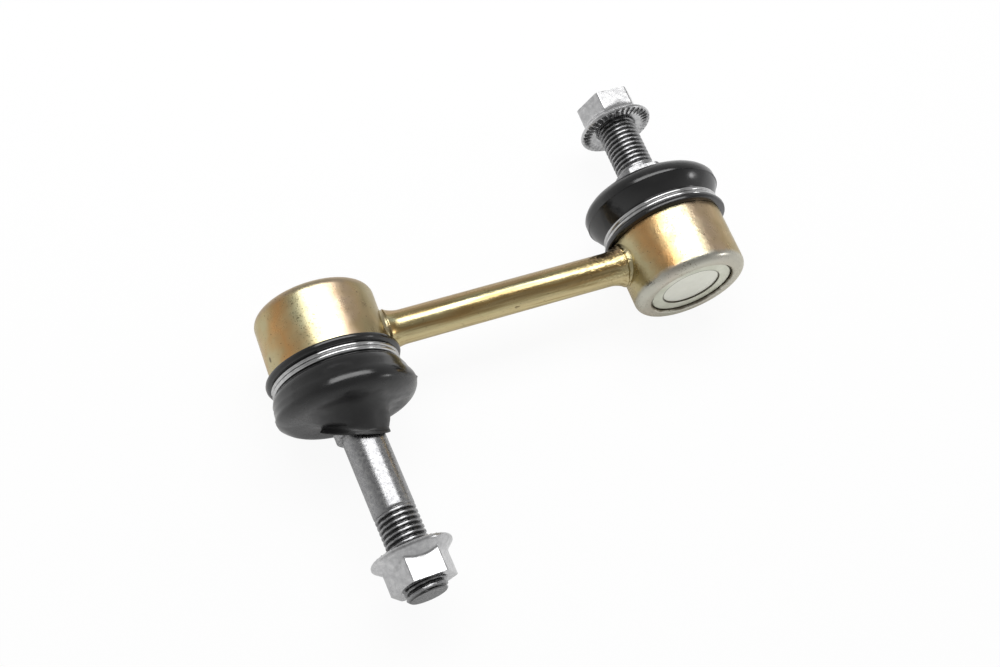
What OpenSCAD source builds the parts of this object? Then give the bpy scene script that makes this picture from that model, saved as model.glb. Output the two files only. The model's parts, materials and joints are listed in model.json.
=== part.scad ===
// Stabilizer link: two ball joints facing opposite ways on a welded rod.
// Millimetres. X runs along the rod to the short stud, Y along the short stud, Z across both.
// The origin is the centre of the collar face of the short stud.

/* [Rod] */
// Distance between the two ball centres
centre_distance = 91.3; // [75:0.1:140]
// Diameter of the rod
rod_d = 8.5; // [7:0.1:10]
// Length of the flare at each rod end
flare_length = 4; // [3:0.1:6]
// Radius of the hollow curve of the flare
flare_radius = 8; // [7:0.5:16]
// Width of the weld bead around each rod end
weld_width = 0.5; // [0.4:0.1:1.2]
// Height of the weld bead above the rod
weld_rise = 0.75; // [0.5:0.05:1]

/* [Housing] */
// Outside diameter of each ball housing
housing_d = 29.3; // [28:0.1:31]
// Wall of the housing around its bore
housing_wall = 3.6; // [3:0.1:4]
// Wall of the spigot that carries the boot
spigot_wall = 1.5; // [1.2:0.1:2]
// Rod axis to the closed end
closed_rise = 11.4; // [11:0.1:12.5]
// Rod axis to the shoulder under the boot
shoulder_rise = 5.2; // [4.5:0.1:5.6]
// Height of the spigot above the shoulder
spigot_height = 4; // [3.6:0.1:4.4]
// Rounding of the closed end
corner_radius = 2.3; // [1.5:0.1:3]
// Thickness of the lip rolled over the cover
lip_height = 1.4; // [1.2:0.1:1.6]
// Overlap of the rolled lip on the cover
lip_overlap = 1; // [0.7:0.1:1.3]
// Thickness of the inner shoulder that holds the seats
throat_height = 2.2; // [1.6:0.1:2.6]

/* [Cover plate] */
// Thickness of the cover plate at its rim
cover_thickness = 1.5; // [1.2:0.1:1.7]
// Rim of the cover plate outside the bore
cover_rim = 0.75; // [0.5:0.05:1]
// Rise of the ring pressed into the cover plate
cover_ring_rise = 0.6; // [0.3:0.05:0.9]
// Diameter of the dished middle of the cover plate
cover_dish_d = 15; // [12:0.1:17]
// Depth of the dished middle
cover_dish = 0.3; // [0.2:0.05:0.5]
// Gap between the pressed ring and the rolled lip
cover_crevice = 0.35; // [0.2:0.05:0.6]

/* [Ball stud] */
// Diameter of the ball
ball_d = 15; // [14.4:0.1:15.4]
// Flat on the closed side of the ball
ball_flat = 1.3; // [0.6:0.1:2]
// Diameter of the neck beside the ball
neck_d = 9.2; // [8.6:0.1:9.6]
// Diameter of the neck inside the boot sleeve
seal_d = 10.5; // [10:0.1:11]
// Largest lean of the stud from the housing axis
tilt_limit = 20; // [15:1:22]
// Diameter of the collar of the long stud
long_collar_d = 12.2; // [11.8:0.1:15]
// Diameter of the collar of the short stud
short_collar_d = 14.2; // [11.8:0.1:15]
// Width across the two flats of each collar
collar_flats = 10.1; // [10:0.1:12]
// Height of each collar
collar_height = 2.3; // [1.5:0.1:3]
// Ball centre to the collar face
collar_rise = 23.5; // [23:0.1:27]
// Outside diameter of the shank where it fills the eye of an arm
stud_d = 10; // [9.7:0.05:10]
// Outside diameter of the thread under the nut
thread_d = 9.4; // [9.2:0.05:9.5]
// Collar face to the end of the plain shank of the long stud
long_shank = 20; // [15:0.1:22]
// Collar face to the end of the eye on the short stud
short_shank = 13.9; // [10:0.1:14.2]
// Collar face to the tip of the long stud
long_reach = 40.3; // [39:0.1:60]
// Collar face to the tip of the short stud
short_reach = 22.7; // [21:0.1:40]
// Chamfer at the stud tips
tip_chamfer = 0.6; // [0.3:0.1:1]
// Rest lean of the long stud toward the short end, in degrees
long_lean = 3; // [0:0.5:4]

/* [Boot] */
// Diameter over the bulge of the boot
bulge_d = 34.8; // [34:0.1:37]
// Ball centre to the widest line of the bulge
bulge_rise = 13.4; // [13:0.1:14.2]
// Outside radius of the bulge curve
bulge_radius = 5; // [4.6:0.1:5.2]
// Radius of the hollow curve from the bulge to the sleeve
crown_radius = 2.6; // [2:0.1:3]
// Wall of the boot
boot_wall = 1.5; // [1.2:0.1:1.8]
// Diameter of the bead that sits on the shoulder
bead_d = 32.6; // [31.6:0.1:34]
// Height of the bead below the clamp wire
bead_height = 1.7; // [1.5:0.05:1.9]
// Thickness of the boot under the clamp wire
groove_wall = 1.7; // [1.4:0.1:1.9]
// Outside diameter of the sleeve around the neck
sleeve_d = 14.6; // [14.2:0.1:15.4]
// Height of the sleeve lip
sleeve_lip = 1.2; // [0.8:0.1:1.6]
// Overhang of the sleeve lip
sleeve_lip_out = 0.5; // [0.3:0.1:0.8]
// Wire of the boot clamp
wire_d = 1.2; // [1:0.05:1.3]
// Sweep of the turn of the clamp wire that is cut short
wire_sweep = 320; // [240:5:340]
// Height of the ring inside the sleeve
ring_height = 2.7; // [2:0.1:3.2]
// Thickness of the ring inside the sleeve
ring_wall = 0.8; // [0.6:0.05:1]

/* [Nut] */
// Width across the flats of the nut
nut_flats = 14; // [13:0.1:15]
// Height of the nut
nut_height = 8.4; // [7.5:0.1:10]
// Diameter of the nut flange
flange_d = 19.4; // [18.4:0.1:22]
// Thickness of the rounded flange edge
flange_edge = 1.5; // [1.2:0.1:1.8]
// Height where the flange cone meets the hexagon
flange_rise = 3.3; // [2.6:0.1:4]
// Collar face to the seating face of the long nut
long_nut_rise = 29.5; // [25:0.1:30.2]
// Collar face to the seating face of the short nut
short_nut_rise = 14.6; // [14.3:0.1:15.2]
// Turn of the long nut about its stud
long_nut_turn = 53; // [0:1:59]
// Turn of the short nut about its stud
short_nut_turn = 2; // [0:1:59]

/* [Fits] */
// Gap of pieces that are pressed or seated together
seat_gap = 0.02; // [0.01:0.01:0.03]
// Radial gap of pieces that turn in each other
run_gap = 0.05; // [0.04:0.01:0.08]
// Clearance around the neck at its largest lean
lean_gap = 0.35; // [0.3:0.05:0.5]

/* [Hidden] */
$fn = 96;
rod_r = rod_d / 2;
housing_r = housing_d / 2;
bore_r = housing_r - housing_wall;
spigot_r = bore_r + spigot_wall;
spigot_top = shoulder_rise + spigot_height;
throat_bottom = spigot_top - throat_height;
cover_r = bore_r + cover_rim;
cover_top = closed_rise - lip_height;
cover_bottom = cover_top - cover_thickness;
lip_r = cover_r - lip_overlap;
lip_round = lip_height / 2;
ball_r = ball_d / 2;
seat_r = bore_r - seat_gap;
split = 0.1;
neck_r = neck_d / 2;
seal_r = seal_d / 2;
collar_bottom = collar_rise - collar_height;
stud_r = stud_d / 2;
thread_r = min(thread_d, stud_d) / 2;
flare_r = rod_r + flare_radius - sqrt(flare_radius * flare_radius - flare_length * flare_length);
weld_r = rod_r + weld_rise;
saddle = housing_r - sqrt(housing_r * housing_r - weld_r * weld_r);
wall_half = centre_distance / 2 - housing_r;
flare_end = wall_half - weld_width;
bead_bottom = shoulder_rise + run_gap;
bead_top = bead_bottom + bead_height;
rod_relief = bead_bottom - lean_gap;
bead_r = bead_d / 2;
bead_round = bead_height / 3;
boot_bore = spigot_r + run_gap;
groove_r = boot_bore + groove_wall;
wire_r = wire_d / 2;
wire_pitch = wire_d - seat_gap * 2;
groove_top = bead_top + wire_d + wire_pitch + seat_gap;
tube_r = bulge_d / 2 - bulge_radius;
sleeve_r = sleeve_d / 2;
sleeve_bore = seal_r + run_gap * 2;
sleeve_top = collar_bottom - run_gap * 2;
sleeve_bottom = bulge_rise + bulge_radius - boot_wall;
crown_out = sleeve_r + crown_radius - tube_r;
crown_reach = bulge_radius + crown_radius;
crown_z = bulge_rise + sqrt(crown_reach * crown_reach - crown_out * crown_out);
crown_r = tube_r + crown_out * bulge_radius / crown_reach;
ring_r = seal_r + run_gap + ring_wall;
ring_top = sleeve_top - sleeve_lip / 2;
neck_top = spigot_top + 2.6;
seal_bottom = sleeve_bottom - 0.6;
nut_bore = stud_r + run_gap;
hex_r = nut_flats / 2 / cos(30);
flange_r = flange_d / 2;
edge_r = flange_edge / 2;

// Places a piece drawn along Z from the ball centre at the short end.
module at_short() {
    translate([0, -collar_rise, 0])
        rotate([-90, 0, 0])
            children();
}

// Places a piece drawn along Z from the ball centre at the long end.
module at_long() {
    translate([-centre_distance, -collar_rise, 0])
        rotate([90, 0, 0])
            children();
}

// Places a piece of the long end that follows the lean of the stud.
module at_long_stud() {
    translate([-centre_distance, -collar_rise, 0])
        rotate([0, 0, long_lean])
            rotate([90, 0, 0])
                children();
}

// Half section of the box from one radius and height to another.
module box_section(r0, z0, r1, z1) {
    translate([r0, z0])
        square([r1 - r0, z1 - z0]);
}

// Space swept by the neck at its largest lean.
module lean_cone() {
    base = (neck_r + lean_gap) / cos(tilt_limit);
    cylinder(r1 = base, r2 = base + spigot_top * tan(tilt_limit) * 2, h = spigot_top * 2);
}

// Half section of the housing before it is hollowed.
module housing_outline() {
    box_section(0, corner_radius - closed_rise, housing_r, shoulder_rise);
    box_section(0, -closed_rise, housing_r - corner_radius, shoulder_rise);
    box_section(0, 0, spigot_r, spigot_top);
    intersection() {
        translate([housing_r - corner_radius, corner_radius - closed_rise])
            circle(r = corner_radius);
        box_section(housing_r - corner_radius, -closed_rise, housing_r, corner_radius - closed_rise);
    }
}

// Half section of the mouth inside the rolled lip.
module lip_mouth() {
    box_section(0, -closed_rise - 1, lip_r, -cover_bottom);
    difference() {
        box_section(0, -closed_rise - 1, lip_r + lip_round, lip_round - closed_rise);
        translate([lip_r + lip_round, lip_round - closed_rise])
            circle(r = lip_round);
    }
}

// Cup of one ball joint with its rolled lip, throat and spigot.
module housing() {
    difference() {
        rotate_extrude()
            difference() {
                housing_outline();
                lip_mouth();
                box_section(0, -cover_top, cover_r, -cover_bottom);
                box_section(0, -cover_bottom - 1, bore_r, throat_bottom);
            }
        lean_cone();
    }
}

// Pressed plate held by the rolled lip.
module cover() {
    ring_top_z = -cover_top - cover_ring_rise;
    rotate_extrude()
        difference() {
            union() {
                box_section(0, seat_gap - cover_top, cover_r - seat_gap, -cover_bottom);
                box_section(0, ring_top_z, lip_r - cover_crevice, -cover_bottom);
            }
            box_section(0, ring_top_z - 1, cover_dish_d / 2, ring_top_z + cover_dish);
        }
}

// Lower half of the plastic ball seat, against the cover plate.
module seat_cup() {
    difference() {
        translate([0, 0, -cover_bottom])
            cylinder(r = seat_r, h = cover_bottom - split);
        sphere(r = ball_r + run_gap);
    }
}

// Upper half of the plastic ball seat, under the throat.
module seat_ring() {
    difference() {
        translate([0, 0, split])
            cylinder(r = seat_r, h = throat_bottom - split);
        sphere(r = ball_r + run_gap);
        lean_cone();
    }
}

// Ball, neck, collar with two flats, and threaded shank in one forging.
module ball_stud(collar, shank, reach) {
    tip = collar_rise + reach;
    difference() {
        sphere(r = ball_r);
        translate([-ball_r, -ball_r, -ball_r * 2 + ball_flat])
            cube([ball_d, ball_d, ball_r]);
    }
    rotate_extrude()
        polygon([
            [0, 0],
            [neck_r, 0],
            [neck_r, neck_top],
            [seal_r, seal_bottom],
            [seal_r, collar_bottom + 0.5],
            [stud_r, collar_bottom + 0.5],
            [stud_r, collar_rise + shank],
            [thread_r, collar_rise + shank],
            [thread_r, tip - tip_chamfer],
            [thread_r - tip_chamfer, tip],
            [0, tip]
        ]);
    intersection() {
        translate([0, 0, collar_bottom])
            cylinder(r = collar / 2, h = collar_height);
        translate([-collar, -collar_flats / 2, collar_bottom - 1])
            cube([collar * 2, collar_flats, collar_height + 2]);
    }
}

// Half section of the crown that runs in a hollow curve from the bulge to the sleeve.
module crown_section() {
    difference() {
        box_section(sleeve_bore, sleeve_bottom, crown_r, min(crown_z, sleeve_top));
        translate([sleeve_r + crown_radius, crown_z])
            circle(r = crown_radius);
    }
}

// Half section of the bead, the clamp groove, the bulge and the crown of the boot.
module boot_section() {
    crown_section();
    difference() {
        union() {
            translate([tube_r, bulge_rise])
                circle(r = bulge_radius);
            box_section(boot_bore, bead_bottom, groove_r, groove_top + 0.3);
            box_section(boot_bore, bead_bottom, bead_r - bead_round, bead_top);
            box_section(boot_bore, bead_bottom, bead_r, bead_top - bead_round);
            translate([bead_r - bead_round, bead_top - bead_round])
                circle(r = bead_round);
        }
        translate([tube_r, bulge_rise])
            circle(r = bulge_radius - boot_wall);
        box_section(0, 0, boot_bore, bulge_rise);
        box_section(0, bulge_rise - 1, tube_r, sleeve_bottom);
        box_section(groove_r, bead_top, bulge_d, groove_top);
    }
}

// Half section of the sleeve that grips the neck.
module sleeve_section() {
    box_section(sleeve_bore, sleeve_bottom, sleeve_r, sleeve_top);
    box_section(sleeve_bore, sleeve_top - sleeve_lip, sleeve_r + sleeve_lip_out, sleeve_top);
}

// Half section of the room for the neck and its ring inside the sleeve.
module sleeve_room() {
    box_section(0, sleeve_bottom - 2, sleeve_bore, sleeve_top + 1);
    box_section(0, ring_top - ring_height, ring_r + run_gap, ring_top);
}

// Boot with its sleeve leaning with the stud.
module boot(lean) {
    difference() {
        union() {
            rotate_extrude()
                boot_section();
            rotate([0, lean, 0])
                rotate_extrude()
                    sleeve_section();
        }
        rotate([0, lean, 0])
            rotate_extrude()
                sleeve_room();
    }
}

// Two turns of spring wire around the boot, the one on the bead cut short.
module clamp(start) {
    rotate_extrude()
        translate([groove_r + wire_r, bead_top + wire_r + wire_pitch])
            circle(r = wire_r);
    rotate([0, 0, start])
        rotate_extrude(angle = wire_sweep)
            translate([groove_r + wire_r, bead_top + wire_r])
                circle(r = wire_r);
}

// Stiff ring moulded for the sleeve to seal on the neck.
module neck_ring() {
    rotate_extrude()
        box_section(seal_r + run_gap, ring_top - ring_height + seat_gap, ring_r, ring_top - seat_gap);
}

// Hexagon nut with a conical flange, seating face at z = 0.
module nut(rise, turn) {
    translate([0, 0, collar_rise + rise])
        rotate([0, 0, turn])
            difference() {
                union() {
                    intersection() {
                        translate([0, 0, edge_r])
                            cylinder(r = hex_r, h = nut_height - edge_r, $fn = 6);
                        cylinder(r1 = nut_flats / 2 + nut_height * 1.7, r2 = nut_flats / 2, h = nut_height);
                    }
                    rotate_extrude() {
                        polygon([
                            [0, 0],
                            [flange_r - edge_r, 0],
                            [flange_r - edge_r * 0.6, edge_r + edge_r * 0.9],
                            [nut_flats / 2, flange_rise],
                            [0, flange_rise]
                        ]);
                        translate([flange_r - edge_r, edge_r])
                            circle(r = edge_r);
                    }
                }
                translate([0, 0, -1])
                    cylinder(r = nut_bore, h = nut_height + 2);
                translate([0, 0, -seat_gap])
                    cylinder(r1 = nut_bore + 0.6, r2 = nut_bore, h = 0.6);
                translate([0, 0, nut_height + seat_gap - 0.6])
                    cylinder(r1 = nut_bore, r2 = nut_bore + 0.6, h = 0.6);
            }
}

// Space kept clear under the bead of the boot, cut from the flare and the weld.
module bead_space() {
    translate([0, rod_relief, -housing_r])
        cube([centre_distance / 2, housing_r, housing_d]);
}

// Rod half toward the short end: plain rod, hollow flare and the stub that is cut to the housing.
module rod_half() {
    difference() {
        rotate([0, 90, 0])
            rotate_extrude()
                difference() {
                    union() {
                        box_section(0, 0, rod_r, wall_half + saddle);
                        box_section(0, flare_end - flare_length, flare_r, flare_end);
                    }
                    translate([rod_r + flare_radius, flare_end - flare_length])
                        circle(r = flare_radius);
                }
        bead_space();
    }
}

// Rounded weld bead between the flare of the rod and the housing wall.
module weld_half() {
    round = min(weld_width, weld_rise) * 0.4;
    difference() {
        rotate([0, 90, 0])
            rotate_extrude() {
                box_section(rod_r + seat_gap, flare_end + seat_gap, weld_r - round, wall_half + saddle);
                box_section(rod_r + seat_gap, flare_end + seat_gap + round, weld_r, wall_half + saddle);
                translate([weld_r - round, flare_end + seat_gap + round])
                    circle(r = round);
            }
        bead_space();
    }
}

// Space taken by both housings, cut from the rod and the welds.
module housing_space() {
    for (x = [-centre_distance / 2, centre_distance / 2]) {
        translate([x, -housing_d, 0])
            rotate([-90, 0, 0])
                cylinder(r = housing_r + seat_gap, h = housing_d * 2);
    }
}

module link_rod() {
    color("goldenrod")
        translate([-centre_distance / 2, -collar_rise, 0])
            difference() {
                union() {
                    rod_half();
                    rotate([0, 0, 180])
                        rod_half();
                }
                housing_space();
            }
}

module long_weld() {
    color("peru")
        translate([-centre_distance / 2, -collar_rise, 0])
            difference() {
                rotate([0, 0, 180])
                    weld_half();
                housing_space();
            }
}

module short_weld() {
    color("peru")
        translate([-centre_distance / 2, -collar_rise, 0])
            difference() {
                weld_half();
                housing_space();
            }
}

module long_housing() {
    color("goldenrod")
        at_long()
            housing();
}

module short_housing() {
    color("goldenrod")
        at_short()
            housing();
}

module long_cover() {
    color("lightgray")
        at_long()
            cover();
}

module short_cover() {
    color("lightgray")
        at_short()
            cover();
}

module long_seat_cup() {
    color("ivory")
        at_long()
            seat_cup();
}

module short_seat_cup() {
    color("ivory")
        at_short()
            seat_cup();
}

module long_seat_ring() {
    color("ivory")
        at_long()
            seat_ring();
}

module short_seat_ring() {
    color("ivory")
        at_short()
            seat_ring();
}

module long_stud() {
    color("gray")
        at_long_stud()
            ball_stud(long_collar_d, long_shank, long_reach);
}

module short_stud() {
    color("gray")
        at_short()
            ball_stud(short_collar_d, short_shank, short_reach);
}

module long_boot() {
    color("black")
        at_long()
            boot(long_lean);
}

module short_boot() {
    color("black")
        at_short()
            boot(0);
}

module long_clamp() {
    color("silver")
        at_long()
            clamp(182);
}

module short_clamp() {
    color("silver")
        at_short()
            clamp(110);
}

module long_neck_ring() {
    color("dimgray")
        at_long_stud()
            neck_ring();
}

module short_neck_ring() {
    color("dimgray")
        at_short()
            neck_ring();
}

module long_nut() {
    color("silver")
        at_long_stud()
            nut(long_nut_rise, long_nut_turn);
}

module short_nut() {
    color("silver")
        at_short()
            nut(short_nut_rise, short_nut_turn);
}

link_rod();
long_weld();
short_weld();
long_housing();
short_housing();
long_cover();
short_cover();
long_seat_cup();
short_seat_cup();
long_seat_ring();
short_seat_ring();
long_stud();
short_stud();
long_boot();
short_boot();
long_clamp();
short_clamp();
long_neck_ring();
short_neck_ring();
long_nut();
short_nut();
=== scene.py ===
import json
import math

import bpy
from mathutils import Matrix, Vector, noise


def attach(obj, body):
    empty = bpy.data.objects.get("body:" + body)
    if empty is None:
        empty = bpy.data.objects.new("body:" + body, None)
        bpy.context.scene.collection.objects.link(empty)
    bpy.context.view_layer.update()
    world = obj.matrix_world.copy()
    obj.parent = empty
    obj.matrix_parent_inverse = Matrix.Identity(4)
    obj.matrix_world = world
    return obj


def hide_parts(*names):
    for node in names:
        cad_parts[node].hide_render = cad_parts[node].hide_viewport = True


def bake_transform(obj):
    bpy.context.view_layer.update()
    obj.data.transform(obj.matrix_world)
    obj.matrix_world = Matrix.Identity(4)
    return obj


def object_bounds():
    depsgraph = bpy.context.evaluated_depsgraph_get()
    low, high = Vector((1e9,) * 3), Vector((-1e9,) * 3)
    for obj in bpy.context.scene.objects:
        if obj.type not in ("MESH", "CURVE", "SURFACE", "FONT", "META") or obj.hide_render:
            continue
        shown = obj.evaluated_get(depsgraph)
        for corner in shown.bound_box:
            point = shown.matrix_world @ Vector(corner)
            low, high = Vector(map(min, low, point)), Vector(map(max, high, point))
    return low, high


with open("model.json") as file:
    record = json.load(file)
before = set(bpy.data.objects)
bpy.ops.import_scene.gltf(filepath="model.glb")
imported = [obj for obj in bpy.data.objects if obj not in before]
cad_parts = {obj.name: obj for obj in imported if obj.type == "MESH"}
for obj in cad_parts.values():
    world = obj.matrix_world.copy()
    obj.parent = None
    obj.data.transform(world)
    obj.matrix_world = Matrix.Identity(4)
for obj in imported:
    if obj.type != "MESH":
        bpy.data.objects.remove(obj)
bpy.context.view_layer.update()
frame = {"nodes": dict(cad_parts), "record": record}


# Rod and welds: a drawn steel bar, upset at both ends and welded to the two cups.
# The bare assembly is then yellow-zinc plated as one, so rod, beads and cups share
# a thin straw-gold film that drifts to brown and green over the forging's waves.
# Part of that colour is painted light: the rod is banded by the side it faces, with a pale
# painted highlight where it faces up and painted dark brown shade bands beside it, and each
# cup is paler where its highlight falls and darker towards its sides.
MM = 0.001
ROD_R = 4.25
BALL_SPACING = 0.0913


def joint_place(joint):
    found = next(j for j in frame["record"]["behaviour"]["joints"] if j["name"] == joint)
    along = Vector(found["axis"]).normalized()
    across = (Vector((1, 0, 0)) - along * along.x).normalized()
    turn = Matrix((across, along.cross(across), along)).transposed().to_4x4()
    return Matrix.Translation(Vector(found["pos_m"])) @ turn


BALL_HEIGHT = joint_place("short_spin").translation.y


def new_finish(name):
    finish = bpy.data.materials.new(name)
    finish.use_nodes = True
    return finish, finish.node_tree, finish.node_tree.nodes["Principled BSDF"]


def add_node(tree, kind, settings=None, **inputs):
    made = tree.nodes.new("ShaderNode" + kind)
    for key, value in (settings or {}).items():
        setattr(made, key, value)
    for key, value in inputs.items():
        socket = made.inputs[int(key[1:])] if key[0] == "_" else made.inputs[key]
        if isinstance(value, bpy.types.NodeSocket):
            tree.links.new(value, socket)
        else:
            socket.default_value = value
    return made


def speckle(tree, scale, detail=3.0, stretch=(1, 1, 1), rough=0.5):
    place = add_node(tree, "TexCoord").outputs["Object"]
    if stretch != (1, 1, 1):
        place = add_node(tree, "Mapping", Vector=place, Scale=stretch).outputs["Vector"]
    return add_node(tree, "TexNoise", Vector=place, Scale=scale, Detail=detail, Roughness=rough).outputs["Fac"]


def blend_tones(tree, amount, stops):
    ramp = add_node(tree, "ValToRGB", Fac=amount)
    band = ramp.color_ramp
    while len(band.elements) < len(stops):
        band.elements.new(0.5)
    for element, (where, tone) in zip(band.elements, stops):
        element.position = where
        element.color = (*tone, 1.0)
    return ramp.outputs["Color"]


def spread(tree, amount, low, high, to_low, to_high):
    span = {"From Min": low, "From Max": high, "To Min": to_low, "To Max": to_high}
    return add_node(tree, "MapRange", Value=amount, **span).outputs["Result"]


def tint(tree, amount, under, over):
    return add_node(tree, "Mix", {"data_type": "RGBA"}, Factor=amount, _6=under, _7=over).outputs[2]


def raise_grain(tree, surface, grains):
    normal = None
    for height, strength, distance in grains:
        extra = {"Normal": normal} if normal else {}
        normal = add_node(tree, "Bump", Height=height, Strength=strength, Distance=distance, **extra).outputs["Normal"]
    tree.links.new(normal, surface.inputs["Normal"])


def coat(node, finish):
    piece = frame["nodes"][node]
    piece.data.materials.clear()
    piece.data.materials.append(finish)


def end_spot(tree):
    spot = add_node(tree, "SeparateXYZ", Vector=add_node(tree, "TexCoord").outputs["Object"]).outputs
    left = add_node(tree, "Math", {"operation": "LESS_THAN"}, _0=spot["X"], _1=-BALL_SPACING / 2).outputs[0]
    across = add_node(tree, "Math", {"operation": "MULTIPLY_ADD"}, _0=left, _1=BALL_SPACING, _2=spot["X"]).outputs[0]
    rise = add_node(tree, "Math", {"operation": "ADD"}, _0=spot["Y"], _1=-BALL_HEIGHT).outputs[0]
    rise = add_node(tree, "Math", {"operation": "ABSOLUTE"}, _0=rise).outputs[0]
    flat = add_node(tree, "CombineXYZ", X=across, Z=spot["Z"]).outputs[0]
    reach = add_node(tree, "VectorMath", {"operation": "LENGTH"}, _0=flat).outputs["Value"]
    return spot["X"], across, rise, reach


def jitter(tree, value, scale, amount):
    shift = spread(tree, speckle(tree, scale, 3), 0.0, 1.0, -amount, amount)
    return add_node(tree, "Math", {"operation": "ADD"}, _0=value, _1=shift).outputs[0]


def times(tree, first, second):
    return add_node(tree, "Math", {"operation": "MULTIPLY"}, _0=first, _1=second).outputs[0]


def yellow_zinc(name):
    finish, tree, surface = new_finish(name)
    along, across, rise, reach = end_spot(tree)
    # Cup tone across its width: partly film tint, partly painted light, palest in the middle where the highlight falls
    # and darker towards the sides, most at the right.
    cup_film_and_painted_light = spread(tree, jitter(tree, across, 110, 0.006), -0.015, 0.015, 0.0, 1.0)
    cup_film_and_painted_light = blend_tones(tree, cup_film_and_painted_light, [
        (0.03, (0.47, 0.41, 0.24)), (0.11, (0.47, 0.32, 0.15)), (0.18, (0.56, 0.32, 0.13)), (0.27, (0.58, 0.41, 0.20)),
        (0.36, (0.60, 0.55, 0.33)), (0.5, (0.62, 0.57, 0.38)), (0.65, (0.58, 0.44, 0.30)), (0.75, (0.46, 0.34, 0.19)),
        (0.85, (0.37, 0.30, 0.165)), (0.95, (0.38, 0.33, 0.21))])
    streak = spread(tree, speckle(tree, 420, 4, (0.1, 1, 1)), 0.0, 1.0, -0.0026, 0.0026)
    place = add_node(tree, "TexCoord").outputs["Object"]
    level = add_node(tree, "SeparateXYZ", Vector=place).outputs["Y"]
    level = add_node(tree, "Math", {"operation": "ADD"}, _0=level, _1=streak).outputs[0]
    level = spread(tree, level, BALL_HEIGHT - ROD_R * MM, BALL_HEIGHT + ROD_R * MM, 0.0, 1.0)
    # Painted light: a pale painted highlight where the rod faces up, with painted dark brown shade bands beside it. The
    # drawn streaks tinted in below are real.
    rod_painted_light_and_streaks = blend_tones(tree, level, [
        (0.0, (0.54, 0.45, 0.25)), (0.04, (0.57, 0.49, 0.27)), (0.13, (0.54, 0.45, 0.24)), (0.21, (0.44, 0.32, 0.15)),
        (0.3, (0.40, 0.26, 0.10)), (0.42, (0.50, 0.41, 0.21)), (0.5, (0.56, 0.54, 0.34)), (0.62, (0.42, 0.33, 0.16)),
        (0.72, (0.44, 0.31, 0.17)), (0.85, (0.39, 0.29, 0.17)), (0.97, (0.38, 0.30, 0.19))])
    drawn = spread(tree, speckle(tree, 1400, 3, (0.04, 1, 1)), 0.5, 0.66, 0.0, 0.55)
    rod_painted_light_and_streaks = tint(tree, drawn, rod_painted_light_and_streaks, (0.25, 0.17, 0.06, 1))
    away = add_node(tree, "Math", {"operation": "ABSOLUTE"}, _0=across).outputs[0]
    # This colour gathers the plating's own tones together with the painted light and painted shade mixed in above and
    # below.
    plating_with_painted_light = tint(tree, spread(tree, away, 0.0142, 0.0156, 0.0, 1.0), cup_film_and_painted_light, rod_painted_light_and_streaks)
    worn = spread(tree, jitter(tree, rise, 420, 0.0009), 0.0088, 0.0098, 0.0, 1.0)
    bare = blend_tones(tree, spread(tree, along, -0.05, -0.04, 0.0, 1.0), [
        (0.4, (0.36, 0.29, 0.21)), (0.6, (0.52, 0.52, 0.47))])
    plating_with_painted_light = tint(tree, times(tree, worn, 0.85), plating_with_painted_light, bare)
    pits = spread(tree, speckle(tree, 1900, 2), 0.67, 0.75, 0.0, 0.8)
    plating_with_painted_light = tint(tree, pits, plating_with_painted_light, (0.08, 0.06, 0.04, 1))
    patch = times(tree, spread(tree, jitter(tree, across, 300, 0.004), -0.008, -0.006, 0.0, 1.0),
                  spread(tree, across, -0.004, -0.001, 1.0, 0.0))
    patch = times(tree, patch, spread(tree, speckle(tree, 2300, 2), 0.58, 0.68, 0.0, 0.75))
    plating_with_painted_light = tint(tree, patch, plating_with_painted_light, (0.12, 0.10, 0.05, 1))
    # Painted shade: dark spots on the rod and on the long cup where they carry dents, standing in for the dents' shade.
    rod_dent_shade_spot = ((-0.0446, BALL_HEIGHT - 0.00388, 0.00174), (1.0, 2.4, 2.4))
    cup_dent_shade_spot = ((-0.1051, BALL_HEIGHT - 0.0014, 0.0049), (1.0, 0.7, 1.0))
    for middle, squeeze in (rod_dent_shade_spot, cup_dent_shade_spot):
        apart = add_node(tree, "VectorMath", {"operation": "SUBTRACT"}, _0=place, _1=middle).outputs[0]
        apart = add_node(tree, "VectorMath", {"operation": "MULTIPLY"}, _0=apart, _1=squeeze).outputs[0]
        apart = add_node(tree, "VectorMath", {"operation": "LENGTH"}, _0=apart).outputs["Value"]
        dent_painted_shade = spread(tree, jitter(tree, apart, 1500, 0.0006), 0.0002, 0.0007, 0.95, 0.0)
        plating_with_painted_light = tint(tree, dent_painted_shade, plating_with_painted_light, (0.10, 0.07, 0.04, 1))
    # Painted shade: the crevice at the rolled lip's inner edge is darkened in the colour.
    crevice_painted_shade = times(tree, spread(tree, rise, 0.0099, 0.0102, 0.0, 1.0),
                    spread(tree, jitter(tree, reach, 500, 0.0004), 0.0108, 0.0111, 0.8, 0.0))
    plating_with_painted_light = tint(tree, crevice_painted_shade, plating_with_painted_light, (0.12, 0.095, 0.06, 1))
    tree.links.new(plating_with_painted_light, surface.inputs["Base Color"])
    rough = spread(tree, speckle(tree, 320, 5), 0.3, 0.7, 0.24, 0.38)
    tree.links.new(times(tree, rough, spread(tree, away, 0.0142, 0.0156, 1.0, 0.75)), surface.inputs["Roughness"])
    surface.inputs["Metallic"].default_value = 1.0
    surface.inputs["Specular Tint"].default_value = (0.95, 0.91, 0.83, 1)
    spatter = times(tree, spread(tree, along, -0.034, -0.019, 0.0, 1.0), spread(tree, reach, 0.0144, 0.0152, 0.0, 1.0))
    spatter = times(tree, spatter, spread(tree, speckle(tree, 1100, 3), 0.48, 0.72, 0.0, 1.0))
    raise_grain(tree, surface, [
        (speckle(tree, 130, 2), 0.14, 0.0008), (speckle(tree, 1400, 3), 0.16, 0.00008), (spatter, 0.35, 0.0002)])
    return finish


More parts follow.
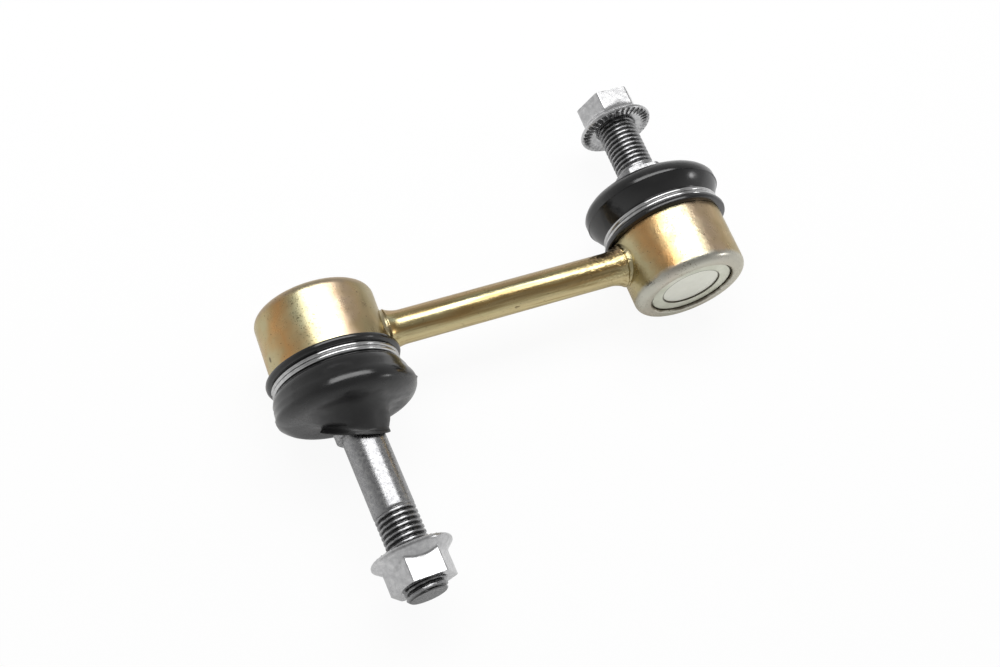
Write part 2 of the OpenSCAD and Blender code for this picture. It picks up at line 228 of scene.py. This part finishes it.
def turned(name, outline, steps, sweep=math.tau):
    bpy.ops.object.select_all(action="DESELECT")
    bpy.ops.mesh.primitive_plane_add(size=MM)
    piece = bpy.context.object
    piece.name = piece.data.name = name
    bpy.ops.object.mode_set(mode="EDIT")
    bpy.ops.mesh.select_all(action="SELECT")
    bpy.ops.mesh.merge(type="CENTER")
    bpy.ops.transform.translate(value=(outline[0][0] * MM, 0, outline[0][1] * MM))
    for (r0, z0), (r1, z1) in zip(outline, outline[1:]):
        bpy.ops.mesh.extrude_region_move(TRANSFORM_OT_translate={"value": ((r1 - r0) * MM, 0, (z1 - z0) * MM)})
    bpy.ops.mesh.select_all(action="SELECT")
    bpy.ops.mesh.spin(steps=steps, angle=sweep, center=(0, 0, 0), axis=(0, 0, 1))
    bpy.ops.mesh.select_all(action="SELECT")
    bpy.ops.mesh.remove_doubles(threshold=0.001 * MM)
    if sweep < math.tau:
        bpy.ops.mesh.select_all(action="DESELECT")
        bpy.ops.mesh.select_non_manifold()
        bpy.ops.mesh.edge_face_add()
        bpy.ops.mesh.select_all(action="SELECT")
    bpy.ops.mesh.normals_make_consistent(inside=False)
    bpy.ops.object.mode_set(mode="OBJECT")
    return piece


def settle(piece, place, angle):
    piece.data.transform(place)
    bpy.ops.object.select_all(action="DESELECT")
    piece.select_set(True)
    bpy.context.view_layer.objects.active = piece
    bpy.ops.object.shade_smooth_by_angle(angle=math.radians(angle))
    return piece


CUP_R = 14.65
BEAD_STEPS = 180
BEAD_LEDGE = 4.95


def weld_bead(name, lump, boot_side):
    root = ROD_R - 0.1
    outline = [(root, 0.0), (5.72, 0.0), (5.55, 0.12), (5.3, 0.3), (5.16, 0.48), (5.15, 0.62), (5.24, 0.78),
               (5.36, 0.92), (5.37, 1.0), (5.3, 1.08), (root, 1.08), (root, 0.0)]
    piece = turned(name, outline, BEAD_STEPS)
    for spot in piece.data.vertices:
        x, y, share = spot.co / MM
        reach, turn = math.hypot(x, y), math.atan2(y, x)
        if reach > ROD_R:
            way = Vector((math.cos(turn), math.sin(turn), 0))
            ripple = noise.noise(way * 6.5 + Vector((0, 0, share * 2.0)))
            ripple += 0.6 * noise.noise(way * 15 + Vector((3, 0, share * 3.0)))
            swell = 1 + lump * ripple * (0.35 + share) / reach
            x, y = x * swell, y * swell
        wall = -math.sqrt(CUP_R ** 2 - y * y) + 0.12
        rim = -(CUP_R + 0.5) + 0.25 * lump * noise.noise(Vector((math.cos(turn), math.sin(turn), 5)) * 5)
        if boot_side * x > BEAD_LEDGE:
            x = boot_side * BEAD_LEDGE
        spot.co = Vector((x, y, wall * (1 - share) + rim * share)) * MM
    return piece


plating = yellow_zinc("yellow_zinc_plating")
coat("link_rod", plating)
for end, toward, lump in (("long", -1, 0.02), ("short", 1, 0.16)):
    middle = joint_place(f"{end}_boot_turn").translation
    place = Matrix(((0, 0, toward, middle.x), (1, 0, 0, middle.y), (0, toward, 0, middle.z), (0, 0, 0, 1)))
    bead = settle(weld_bead(f"{end}_weld_bead", lump, toward), place, 50)
    bead.data.materials.append(plating)
    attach(bead, "link")
    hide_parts(f"{end}_weld")


# Housings: turned and cold-formed steel cups, one to each rod end.
# They carry the same plating, thinner and greyer where the closed rim was rolled over the cover.
for node in ("long_housing", "short_housing"):
    coat(node, plating)


# Cover plates: stamped steel discs under the rolled lips, closing the cups.
# Pale zinc without the yellow film, dull from the press.
pale_zinc, tree, surface = new_finish("pale_zinc_plate")
reach = end_spot(tree)[3]
plate = blend_tones(tree, speckle(tree, 240, 4), [
    (0.3, (0.60, 0.61, 0.50)), (0.55, (0.70, 0.71, 0.60)), (0.75, (0.78, 0.78, 0.68))])
plate = tint(tree, spread(tree, reach, 0.0070, 0.0075, 0.7, 0.0), plate, (0.90, 0.90, 0.82, 1))
# Painted shade: dark rings in the colour at the dish's step and in the crevice under the rolled lip.
step_and_crevice_painted_shade = times(tree, spread(tree, reach, 0.0072, 0.00745, 0.0, 1.0), spread(tree, reach, 0.0075, 0.0078, 1.0, 0.0))
step_and_crevice_painted_shade = add_node(tree, "Math", {"operation": "MAXIMUM"}, _0=step_and_crevice_painted_shade,
                _1=spread(tree, jitter(tree, reach, 500, 0.0003), 0.0102, 0.0105, 0.0, 0.8)).outputs[0]
tree.links.new(tint(tree, step_and_crevice_painted_shade, plate, (0.12, 0.105, 0.075, 1)), surface.inputs["Base Color"])
tree.links.new(spread(tree, speckle(tree, 900, 3), 0.3, 0.7, 0.36, 0.55), surface.inputs["Roughness"])
surface.inputs["Metallic"].default_value = 0.75
raise_grain(tree, surface, [(speckle(tree, 1500, 3), 0.15, 0.00006)])
for node in ("long_cover", "short_cover"):
    coat(node, pale_zinc)


# Ball seats: two moulded acetal halves in each cup, closed in around the ball.
# They fill the cup between the cover plate and the throat.
acetal, tree, surface = new_finish("acetal_seat")
tree.links.new(blend_tones(tree, speckle(tree, 160, 3), [
    (0.3, (0.78, 0.75, 0.66)), (0.7, (0.86, 0.84, 0.77))]), surface.inputs["Base Color"])
tree.links.new(spread(tree, speckle(tree, 700, 2), 0.3, 0.7, 0.32, 0.45), surface.inputs["Roughness"])
raise_grain(tree, surface, [(speckle(tree, 1200, 2), 0.1, 0.00005)])
for node in ("long_seat_cup", "short_seat_cup", "long_seat_ring", "short_seat_ring"):
    coat(node, acetal)


# Ball studs: cold-headed steel, ground on the ball and rolled on the thread.
# Each sits in its seat by the ball and leaves the cup through the boot. The collar has two flats.
BALL_R = 7.5
NECK_R = 4.6
SEAL_R = 5.25
COLLAR_FACE = -BALL_HEIGHT / MM
COLLAR_FLAT = 5.35
SHANK_R = 5.0
PITCH = 1.25
RINGS_PER_PITCH = 12
THREAD_DEPTH = 0.62


def ease(value):
    value = min(max(value, 0.0), 1.0)
    return value * value * (3 - 2 * value)


def ball_stud(name, collar, thread_start, tip):
    ball = [math.radians(145.7 - 107.9 * k / 16) for k in range(17)]
    outline = [(0, -6.2)] + [(BALL_R * math.sin(a), BALL_R * math.cos(a)) for a in ball]
    outline += [(NECK_R, 6.6), (NECK_R, 11.6), (4.75, 12.6), (5.15, 15.6), (SEAL_R, 16.6), (SEAL_R, 21.0),
                (SEAL_R + 0.1, 21.2), (collar - 0.25, 21.2), (collar, 21.4), (collar, COLLAR_FACE - 0.2),
                (collar - 0.2, COLLAR_FACE), (SHANK_R + 0.25, COLLAR_FACE), (SHANK_R + 0.05, COLLAR_FACE + 0.06),
                (SHANK_R, COLLAR_FACE + 0.25), (SHANK_R, COLLAR_FACE + 0.5)]
    height = thread_start
    outline += [(SHANK_R, height - 0.2), (SHANK_R, height)]
    while height < tip - 0.7:
        height += PITCH / RINGS_PER_PITCH
        outline.append((SHANK_R, height))
    outline += [(4.75, tip - 0.4), (4.55, tip - 0.2), (4.3, tip), (2.5, tip), (0, tip)]
    piece = turned(name, outline, 96)
    # The attribute made here marks painted shade: thread roots are darkened in the colour, and the tip's end face gets
    # a painted dark reflection.
    groove = piece.data.attributes.new("groove", "FLOAT", "POINT")
    for spot, shade in zip(piece.data.vertices, groove.data):
        x, y, z = spot.co / MM
        reach = math.hypot(x, y)
        if 21.1 < z < COLLAR_FACE + 0.02 and abs(y) > COLLAR_FLAT:
            spot.co.y = math.copysign(COLLAR_FLAT, y) * MM
        if z > thread_start and reach > 4.0:
            flank = abs((z / PITCH - math.atan2(y, x) / math.tau) % 1.0 - 0.5) * 2
            cut = min(max((0.66 - flank) / 0.5, 0.0), 1.0) * ease((z - thread_start) / (1.3 * PITCH))
            shade.value = cut
            shrink = min(reach, SHANK_R - 0.02 - THREAD_DEPTH * cut) / reach
            spot.co.x *= shrink
            spot.co.y *= shrink
        # Painted dark reflection on the tip's end face.
        if z > tip - 0.05:
            shade.value = 0.85
    return piece


stud_steel, tree, surface = new_finish("bare_stud_steel")
bare = blend_tones(tree, speckle(tree, 1300, 4), [
    (0.3, (0.23, 0.23, 0.235)), (0.5, (0.30, 0.30, 0.305)), (0.7, (0.37, 0.37, 0.365))])
# Painted shade from the attribute: darker thread roots and a dark tip face.
root = add_node(tree, "Attribute", {"attribute_name": "groove"}).outputs["Fac"]
bare = tint(tree, spread(tree, root, 0.0, 1.0, 0.0, 0.85), bare, (0.04, 0.04, 0.04, 1))
tree.links.new(bare, surface.inputs["Base Color"])
tree.links.new(spread(tree, speckle(tree, 2200, 3), 0.3, 0.7, 0.18, 0.40), surface.inputs["Roughness"])
surface.inputs["Metallic"].default_value = 1.0
raise_grain(tree, surface, [(speckle(tree, 2600, 2), 0.16, 0.00004)])
for end, collar, thread_start, tip in (("long", 6.2, 43.0, 63.8), ("short", 6.6, COLLAR_FACE + 0.8, 46.2)):
    stud = ball_stud(f"{end}_ball_stud", collar, thread_start, tip)
    settle(stud, joint_place(f"{end}_spin"), 28)
    stud.data.materials.append(stud_steel)
    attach(stud, f"{end}_stud")
    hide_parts(f"{end}_stud")


# Neck rings: stiff black moulded rings, one inside each boot sleeve.
# They keep the rubber tight on the stud's neck and are hidden by it.
stiffener, tree, surface = new_finish("moulded_stiffener")
tree.links.new(blend_tones(tree, speckle(tree, 300, 3), [
    (0.3, (0.06, 0.06, 0.06)), (0.7, (0.09, 0.09, 0.09))]), surface.inputs["Base Color"])
tree.links.new(spread(tree, speckle(tree, 900, 2), 0.3, 0.7, 0.4, 0.55), surface.inputs["Roughness"])
for node in ("long_neck_ring", "short_neck_ring"):
    coat(node, stiffener)


# Boots: moulded black rubber, held on the cup's spigot by the wire clamp and on the stud by the sleeve.
# The bulge is one full fold with a thin flash line where the mould halves met. The long end's
# sleeve has slid askew over the stud's collar, so its lip slants.
def boot(name, flank, crown, sleeve, shift):
    outline = [(12.65, 5.35), (14.2, 5.28), (15.9, 5.3), (16.18, 5.42), (16.3, 5.75), (16.27, 6.25), (16.05, 6.7),
               (15.6, 6.95), (14.7, 7.0), (14.45, 7.12), (14.38, 7.4), (14.38, 9.0)]
    outline += flank + crown + sleeve
    outline += [(7.0, 15.6), (8.6, 15.6), (10.4, 15.7), (12.4, 15.7), (14.0, 15.3), (15.2, 14.5), (15.8, 13.3),
                (15.2, 12.2), (14.2, 11.0), (13.2, 10.1), (12.75, 9.7), (12.65, 9.3), (12.65, 5.35)]
    piece = turned(name, outline, 192)
    for spot in piece.data.vertices:
        spot.co = Vector(shift(*(spot.co / MM))) * MM
    return piece


STUD_LEAN = math.radians(3)


def slid_askew(x, y, z):
    up, over, tip = ease((z - 9) / 4.4), ease((z - 16.3) / 6.2), ease((z - 16.5) / 6)
    fold = up * (1 - over)
    tilt = math.radians(-1 * fold - 15 * over)
    droop = (0.1 * max(y, 0) + 0.01 * min(y, 0)) * fold
    top = z - x * math.sin(tilt) + droop - 0.5 * over + 0.42 * y * tip
    if math.hypot(x, y) < 6.5 and z > 15:
        bore = 5.4 + 0.9 * ease((top - 20.4) / 0.6)
        turn = math.atan2(y, x)
        return math.tan(STUD_LEAN) * top + bore * math.cos(turn), bore * math.sin(turn), top
    turn = math.degrees(math.atan2(y, x)) % 180
    nib = 0.02 * math.exp(-((z - 13.9) / 0.35) ** 2 - ((turn - 8.7) / 2.2) ** 2)
    swell = math.sin(math.pi * min(max((z - 9.3) / 4.3, 0), 1))
    pinch = 0.12 * math.exp(-((z - 21.1) / 0.7) ** 2) - 0.06 * math.exp(-((z - 22.7) / 0.5) ** 2)
    pinch *= max(0.5 * y - 0.87 * x, 0) ** 2 / 7
    waist = 0.16 * math.exp(-(z - 18.3) ** 2) * max(x, 0)
    waist += 0.03 * math.exp(-((z - 15.2) / 0.9) ** 2) * max(-x, 0)
    side = x * (math.cos(tilt) + nib) + 0.6 * fold - 0.25 * over + 0.5 * tip
    side -= 0.02 * swell * max(-x, 0) + 0.03 * tip * max(x, 0) + waist
    return side + 0.87 * pinch, y * (1 - 0.18 * tip) - 0.5 * pinch, top


def drawn_back(x, y, z):
    up = min(max((z - 8.5) / 5, 0.0), 1.0)
    return x * (1 + 0.045 * ease((z - 13.4) / 2.4)) - 0.22 * up, y, z - 0.03 * x * up


long_flank = [(14.5, 9.15), (14.95, 9.3), (15.4, 9.65), (15.8, 10.35), (16.1, 11.1)]
arc = [math.radians(a) for a in (-35, -25, -15, -7, 0, 7, 15, 25, 35, 45, 55, 65, 75)]
long_crown = [(13.35 + 3.5 * math.cos(a), 13.9 + 3.5 * math.sin(a)) for a in arc]
long_crown += [(13.3, 17.45), (12.4, 17.6), (11.5, 17.8), (10.5, 18.2), (9.6, 18.85), (8.9, 19.6), (8.6, 20.1),
               (8.4, 20.6)]
long_sleeve = [(8.2, 21.0), (8.0, 21.5), (7.85, 21.8), (7.8, 22.1), (7.85, 22.4), (7.9, 22.7), (7.8, 23.0),
               (7.5, 23.1), (7.0, 23.05), (6.45, 22.9), (6.3, 22.5), (6.3, 21.8), (6.3, 21.0), (6.3, 20.0),
               (6.3, 18.6), (6.3, 17.0), (6.3, 16.0)]
short_flank = [(14.5, 9.35), (15.0, 9.9), (15.7, 10.7), (16.4, 11.6), (16.95, 12.5), (17.25, 13.1), (17.32, 13.25),
               (17.5, 13.3), (17.5, 13.42), (17.3, 13.5)]
arc = [math.radians(a) for a in (5, 14, 24, 34, 44, 54, 64, 74, 84, 94)]
short_crown = [(12.5 + 4.85 * math.cos(a), 13.3 + 4.85 * math.sin(a)) for a in arc]
short_crown += [(11.0, 17.95), (9.9, 17.8), (9.0, 18.0), (8.3, 18.6), (7.8, 19.5)]
short_sleeve = [(7.6, 20.3), (7.7, 20.7), (7.65, 21.0), (7.4, 21.1), (6.6, 21.1), (5.7, 21.05), (5.45, 20.9),
                (5.45, 18.5), (5.45, 16.1), (5.8, 15.7)]

rubber, tree, surface = new_finish("boot_rubber_black")
black = blend_tones(tree, speckle(tree, 110, 5), [
    (0.3, (0.003, 0.003, 0.0033)), (0.6, (0.006, 0.006, 0.0063)), (0.8, (0.011, 0.011, 0.011))])
tree.links.new(black, surface.inputs["Base Color"])
rise = end_spot(tree)[2]
dusty = spread(tree, jitter(tree, rise, 300, 0.002), 0.0165, 0.0195, 0.0, 0.3)
gloss = spread(tree, speckle(tree, 520, 4), 0.3, 0.7, 0.14, 0.24)
gloss = add_node(tree, "Math", {"operation": "ADD"}, _0=gloss, _1=dusty).outputs[0]
tree.links.new(gloss, surface.inputs["Roughness"])
surface.inputs["Specular IOR Level"].default_value = 0.65
raise_grain(tree, surface, [(speckle(tree, 180, 2), 0.06, 0.0004), (speckle(tree, 2200, 3), 0.12, 0.00003)])
for end, flank, crown, sleeve, shift in (("long", long_flank, long_crown, long_sleeve, slid_askew),
                                         ("short", short_flank, short_crown, short_sleeve, drawn_back)):
    place = joint_place(f"{end}_boot_turn")
    cover = settle(boot(f"{end}_dust_boot", flank, crown, sleeve, shift), place, 40)
    cover.data.materials.append(rubber)
    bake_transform(cover)
    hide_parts(f"{end}_boot")


# Boot clamps: drawn spring wire wound nearly twice around each boot, with one cut end showing.
# It is sprung over the bead and pulls the rubber tight in its groove on the cup's spigot.
WIRE_R = 0.58
COIL_R = 14.9


def wire_ring(rise):
    ring = [math.radians(22.5 * k) for k in range(17)]
    return [(COIL_R + WIRE_R * math.cos(a), rise + WIRE_R * math.sin(a)) for a in ring]


wire, tree, surface = new_finish("drawn_spring_wire")
tree.links.new(blend_tones(tree, speckle(tree, 500, 4), [
    (0.3, (0.42, 0.42, 0.42)), (0.6, (0.56, 0.56, 0.56))]), surface.inputs["Base Color"])
tree.links.new(spread(tree, speckle(tree, 1400, 3), 0.3, 0.7, 0.12, 0.22), surface.inputs["Roughness"])
surface.inputs["Metallic"].default_value = 1.0
raise_grain(tree, surface, [(speckle(tree, 2500, 2), 0.12, 0.00003)])
for end, start in (("long", 182), ("short", 110)):
    place = joint_place(f"{end}_boot_turn")
    clamp = turned(f"{end}_wire_clamp", wire_ring(8.66), 240)
    cut_turn = turned(f"{end}_wire_cut_turn", wire_ring(7.53), 220, math.radians(320))
    cut_turn.data.transform(Matrix.Rotation(math.radians(start), 4, "Z"))
    bpy.ops.object.select_all(action="DESELECT")
    cut_turn.select_set(True)
    clamp.select_set(True)
    bpy.context.view_layer.objects.active = clamp
    bpy.ops.object.join()
    settle(clamp, place, 40)
    clamp.data.materials.append(wire)
    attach(clamp, f"{end}_boot")
    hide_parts(f"{end}_clamp")


# Flange nuts: cold-formed hexagon nuts, bright zinc plated, run onto the studs by hand.
# The seating face is cut with radial locking teeth outside a smooth ring.
NUT_FLAT = 7.0
NUT_CORNER = 8.02
NUT_TOP = 8.4
NUT_TEETH = 36
TOOTH_DEPTH = 0.34
FLANGE_R = 9.25
FLANGE_TOP = 1.42


def flange_nut(name):
    outline = [(5.0, 4.2), (5.0, 0.75), (5.6, 0.22), (5.8, 0.16), (6.7, 0.16), (6.85, 0.12), (7.0, 0.05), (7.6, 0.0),
               (8.4, 0.0), (9.05, 0.0), (9.25, 0.1), (9.45, 0.24), (9.6, 0.45), (9.68, 0.75), (9.62, 1.0), (9.48, 1.22),
               (FLANGE_R, FLANGE_TOP)]
    outline += [(8.0, FLANGE_TOP + 0.16 * k) for k in range(1, 15)]
    outline += [(8.0, z) for z in (4.2, 5.2, 6.2, 7.0, 7.4, 7.7, 7.85, 8.0, 8.15, 8.28, 8.36)]
    outline += [(6.85, NUT_TOP), (6.2, 8.38), (5.7, 8.36), (5.5, 8.3), (5.0, 7.75), (5.0, 4.2)]
    piece = turned(name, outline, 288)
    # The attribute made here marks painted shade in the hollows between the seating face's teeth.
    groove = piece.data.attributes.new("groove", "FLOAT", "POINT")
    for spot, shade in zip(piece.data.vertices, groove.data):
        x, y, z = spot.co / MM
        reach = math.hypot(x, y)
        angle = math.atan2(y, x)
        if reach > 7.5 and 1.45 < z < 8.39:
            side = (angle % math.radians(60)) - math.radians(30)
            flat = min(NUT_FLAT / math.cos(side), NUT_CORNER)
            cone = FLANGE_R - 1.2 * (z - FLANGE_TOP)
            radius = max(flat, cone) + 0.1 * math.exp(-abs(flat - cone) / 0.25)
            radius = min(radius, NUT_FLAT + 0.7 + (NUT_TOP - z) * 2.6)
            spot.co.x *= radius / reach
            spot.co.y *= radius / reach
        elif z < 0.3 and 6.95 < reach < 9.5:
            slant = (angle / math.tau * NUT_TEETH) % 1.0
            dip = slant / 0.7 if slant < 0.7 else (1 - slant) / 0.3
            dip *= ease((reach - 6.95) / 0.5) * (1 - ease((reach - 9.2) / 0.3))
            spot.co.z += TOOTH_DEPTH * dip * MM
            shade.value = dip
    return piece


bright_zinc, tree, surface = new_finish("bright_zinc")
zinc = blend_tones(tree, speckle(tree, 900, 4), [
    (0.3, (0.44, 0.44, 0.445)), (0.5, (0.53, 0.53, 0.535)), (0.7, (0.62, 0.62, 0.62))])
# Painted shade from the attribute: the tooth hollows are darkened in the colour.
root = add_node(tree, "Attribute", {"attribute_name": "groove"}).outputs["Fac"]
zinc = tint(tree, spread(tree, root, 0.2, 1.0, 0.0, 0.4), zinc, (0.14, 0.14, 0.14, 1))
tree.links.new(zinc, surface.inputs["Base Color"])
tree.links.new(spread(tree, speckle(tree, 700, 4), 0.3, 0.7, 0.16, 0.3), surface.inputs["Roughness"])
surface.inputs["Metallic"].default_value = 1.0
raise_grain(tree, surface, [(speckle(tree, 240, 3), 0.08, 0.0003), (speckle(tree, 1500, 3), 0.12, 0.00005)])
for end, turn, rise in (("long", 53, 53.0), ("short", 2, 38.1)):
    place = joint_place(f"{end}_spin") @ Matrix.Translation((0, 0, rise * MM))
    place = place @ Matrix.Rotation(math.radians(turn), 4, "Z")
    nut = settle(flange_nut(f"{end}_flange_nut"), place, 28)
    nut.data.materials.append(bright_zinc)
    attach(nut, f"{end}_nut")
    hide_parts(f"{end}_nut")


# Studio: a plain white sheet under one broad softbox, with a small lamp at the right and a dim room around it.
# The sheet and the room look white to the camera, and the sheet keeps the object's shadow.
low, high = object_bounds()
bpy.ops.object.select_all(action="DESELECT")
bpy.ops.mesh.primitive_plane_add(size=6, location=(-0.045, -0.03, low.z))
floor = bpy.context.object
floor.name = "white_floor"
paper = bpy.data.materials.new("white_paper")
paper.use_nodes = True
tree = paper.node_tree
surface = tree.nodes["Principled BSDF"]
surface.inputs["Base Color"].default_value = (0.93, 0.93, 0.93, 1)
surface.inputs["Roughness"].default_value = 0.9
seen = add_node(tree, "LightPath").outputs
mirrored = add_node(tree, "Math", {"operation": "MAXIMUM"}, _0=seen["Is Glossy Ray"], _1=seen["Is Transmission Ray"])
mirrored = times(tree, mirrored.outputs[0], 0.3)
share = add_node(tree, "Math", {"operation": "MULTIPLY_ADD"}, _0=seen["Is Camera Ray"], _1=0.93, _2=mirrored)
glow = add_node(tree, "Emission", Strength=1.0)
mixed = add_node(tree, "MixShader", _0=share.outputs[0], _1=surface.outputs[0], _2=glow.outputs[0])
tree.links.new(mixed.outputs[0], tree.nodes["Material Output"].inputs["Surface"])
floor.data.materials.append(paper)

room = bpy.data.worlds.new("dim_room")
room.use_nodes = True
tree = room.node_tree
way = add_node(tree, "SeparateXYZ", Vector=add_node(tree, "TexCoord").outputs["Generated"]).outputs["Z"]
seen = add_node(tree, "LightPath").outputs["Is Camera Ray"]
dim = spread(tree, way, 0.0, 0.7, 0.72, 0.33)
dim = add_node(tree, "Math", {"operation": "MULTIPLY_ADD"}, _0=seen, _1=0.27, _2=dim).outputs[0]
tree.links.new(dim, tree.nodes["Background"].inputs["Strength"])
tree.nodes["Background"].inputs["Color"].default_value = (1, 1, 1, 1)
bpy.context.scene.world = room

bpy.ops.object.light_add(type="AREA", location=(0.0, 0.155, 0.45))
softbox = bpy.context.object
softbox.name = "overhead_softbox"
softbox.data.shape = "RECTANGLE"
softbox.data.size = 0.58
softbox.data.size_y = 0.28
softbox.data.energy = 2.1

lamp_at = Vector((0.80, -0.38, 0.33))
bpy.ops.object.light_add(type="AREA", location=lamp_at)
side_lamp = bpy.context.object
side_lamp.name = "side_lamp"
side_lamp.data.size = 0.14
side_lamp.data.energy = 0.5
side_lamp.rotation_euler = (lamp_at - Vector((-0.045, -0.03, 0))).to_track_quat("Z", "Y").to_euler()

bpy.ops.object.camera_add()
camera = bpy.context.object
camera.data.sensor_width = 36.0
camera.data.lens = 48.745
camera.data.clip_start = 0.01
camera.matrix_world = Matrix(((0.92843362, 0.26406627, -0.26130446, -0.135566),
                              (-0.35010421, 0.85718828, -0.37769737, BALL_HEIGHT - 0.131429),
                              (0.12424998, 0.44215072, 0.88829313, 0.288854), (0, 0, 0, 1)))
bpy.context.scene.camera = camera
bpy.context.scene.view_settings.view_transform = "Standard"
